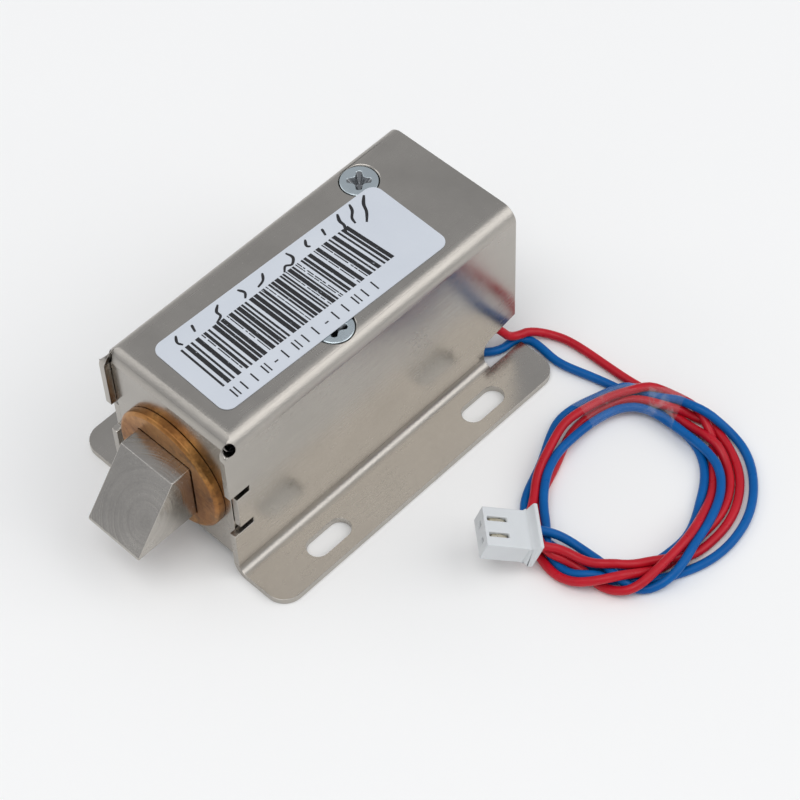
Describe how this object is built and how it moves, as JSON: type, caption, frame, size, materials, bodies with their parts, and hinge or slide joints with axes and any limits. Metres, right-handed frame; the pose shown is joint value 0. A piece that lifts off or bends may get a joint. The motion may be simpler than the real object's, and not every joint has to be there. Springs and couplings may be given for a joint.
{
  "type": "electronic lock",
  "caption": "Solenoid lock: sprung square slanted bolt in a folded sheet-metal housing with slotted side flanges, on two leads with a plug.",
  "frame": {"origin": "middle of the lock's base: on the plane of the flanges' undersides, under the middle of the box round housing and bolt", "axes": "+Y along the bolt, from its slanted tip to the housing's rear, +Z from the flanges up to the top plate, +X towards the leads"},
  "size_m": [0.078, 0.0739, 0.0279],
  "materials": {
    "plated_steel": "nickel plated, satin",
    "bronze": "sintered bronze, oiled",
    "bolt_steel": "nickel plated",
    "washer_steel": "zinc plated",
    "plunger_iron": "nickel plated soft iron",
    "core_iron": "plated soft iron",
    "pin_steel": "ground",
    "spring_steel": "drawn wire",
    "yoke_steel": "zinc plated",
    "nylon": "moulded",
    "enamelled_copper": "enamelled copper wire",
    "winding_tape": "polyester film",
    "zinc_screw": "blue zinc",
    "label_stock": "matt, printed",
    "red_pvc": "extruded",
    "blue_pvc": "extruded",
    "lead_bundle": "red and blue leads",
    "clear_tape": "clear film",
    "plug_nylon": "moulded",
    "tinned_brass": "tinned"
  },
  "bodies": {
    "lock": {"housing": "plated_steel", "front_ring": "bronze", "yoke_frame": "yoke_steel", "bobbin": "nylon", "winding": "enamelled_copper", "winding_tape": "winding_tape", "fixed_core": "core_iron", "mounting_screw_rear": "zinc_screw", "mounting_screw_front": "zinc_screw", "label": "label_stock", "return_spring": "spring_steel", "red_lead": "red_pvc", "blue_lead": "blue_pvc", "lead_coil": "lead_bundle", "coil_tape": "clear_tape", "connector_housing": "plug_nylon", "terminal_red": "tinned_brass", "terminal_blue": "tinned_brass"},
    "bolt": {"latch_bolt": "bolt_steel", "stop_washer": "washer_steel", "plunger": "plunger_iron", "cross_pin": "pin_steel"}
  },
  "joints": [
    {"name": "bolt_slide", "type": "slide", "parent": "lock", "child": "bolt", "axis": [0, 1, 0], "range_m": [0, 0.01], "stiffness_N_per_m": 200, "springref_m": -0.005, "deforming": ["return_spring"]}
  ]
}
